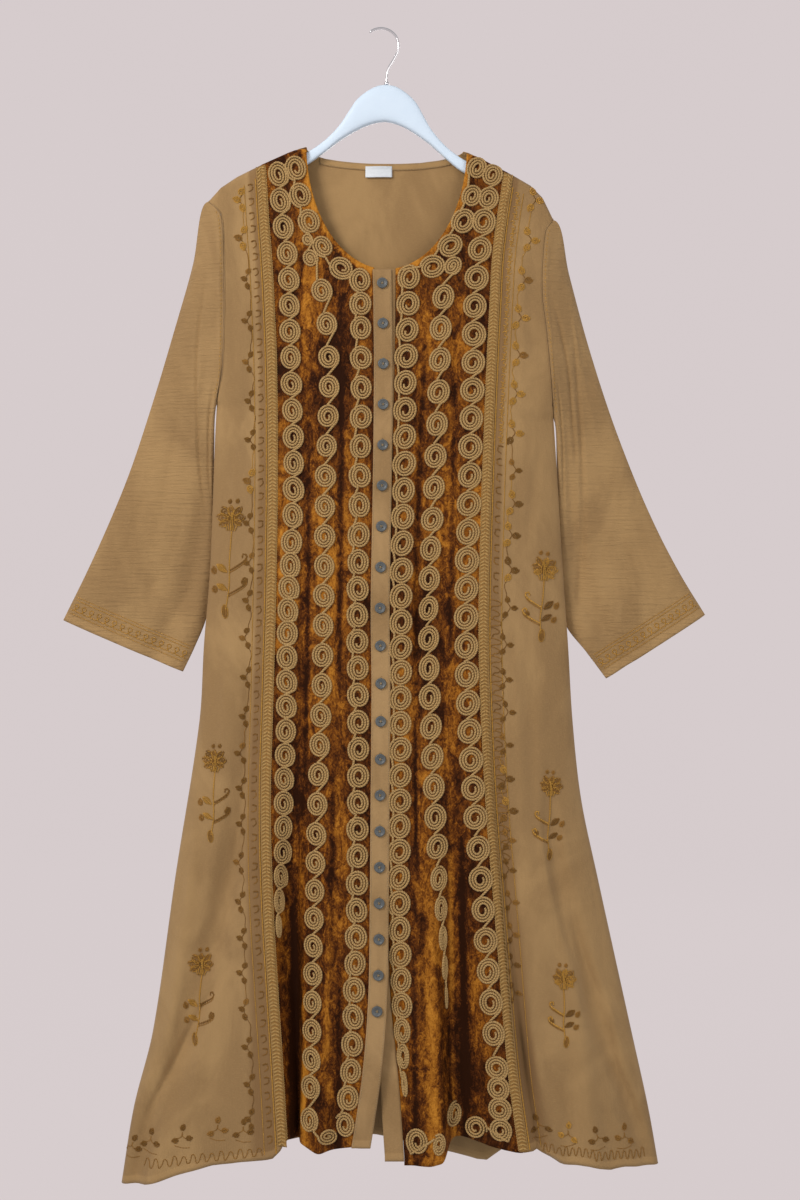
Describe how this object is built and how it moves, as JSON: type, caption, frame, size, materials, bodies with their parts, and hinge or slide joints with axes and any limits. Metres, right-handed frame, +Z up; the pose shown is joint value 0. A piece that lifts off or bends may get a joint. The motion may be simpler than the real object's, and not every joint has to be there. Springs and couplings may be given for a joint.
{
  "type": "kaftan on a hanger",
  "caption": "Long loose buttoned kaftan with wide elbow-length sleeves, velvet front panels and corded coil trim, on a wooden hanger.",
  "frame": {"origin": "the seat of the hanger's hook, where a rail carries it", "axes": "+Z up, -Y towards the viewer who faces the garment's front, +X to that viewer's right"},
  "size_m": [0.838, 0.092, 1.4846],
  "materials": {
    "rayon": "soft matt rayon, tan",
    "velvet": "crushed velvet, rust brown",
    "cord": "twisted cord, pale gold tan",
    "braid": "woven gold thread",
    "button": "slate grey, polished",
    "label": "white woven label, blank",
    "painted wood": "white satin paint",
    "hook": "bright chromed wire"
  },
  "bodies": {
    "root": {"back": "rayon", "front_side_left": "rayon", "front_side_right": "rayon", "sleeve_left": "rayon", "sleeve_right": "rayon", "placket_outer": "rayon", "placket_under": "rayon", "neck_binding": "rayon", "front_velvet_left": "velvet", "front_velvet_right": "velvet", "coils_left_outer": "cord", "coils_left_middle": "cord", "coils_left_inner": "cord", "coils_right_outer": "cord", "coils_right_middle": "cord", "coils_right_inner": "cord", "braid_left": "braid", "braid_right": "braid", "button_01": "button", "button_02": "button", "button_03": "button", "button_04": "button", "button_05": "button", "button_06": "button", "button_07": "button", "button_08": "button", "button_09": "button", "button_10": "button", "button_11": "button", "button_12": "button", "button_13": "button", "button_14": "button", "button_15": "button", "button_16": "button", "button_17": "button", "button_18": "button", "button_19": "button", "button_20": "button", "neck_label": "label", "hanger_body": "painted wood", "hanger_hook": "hook"}
  },
  "joints": []
}
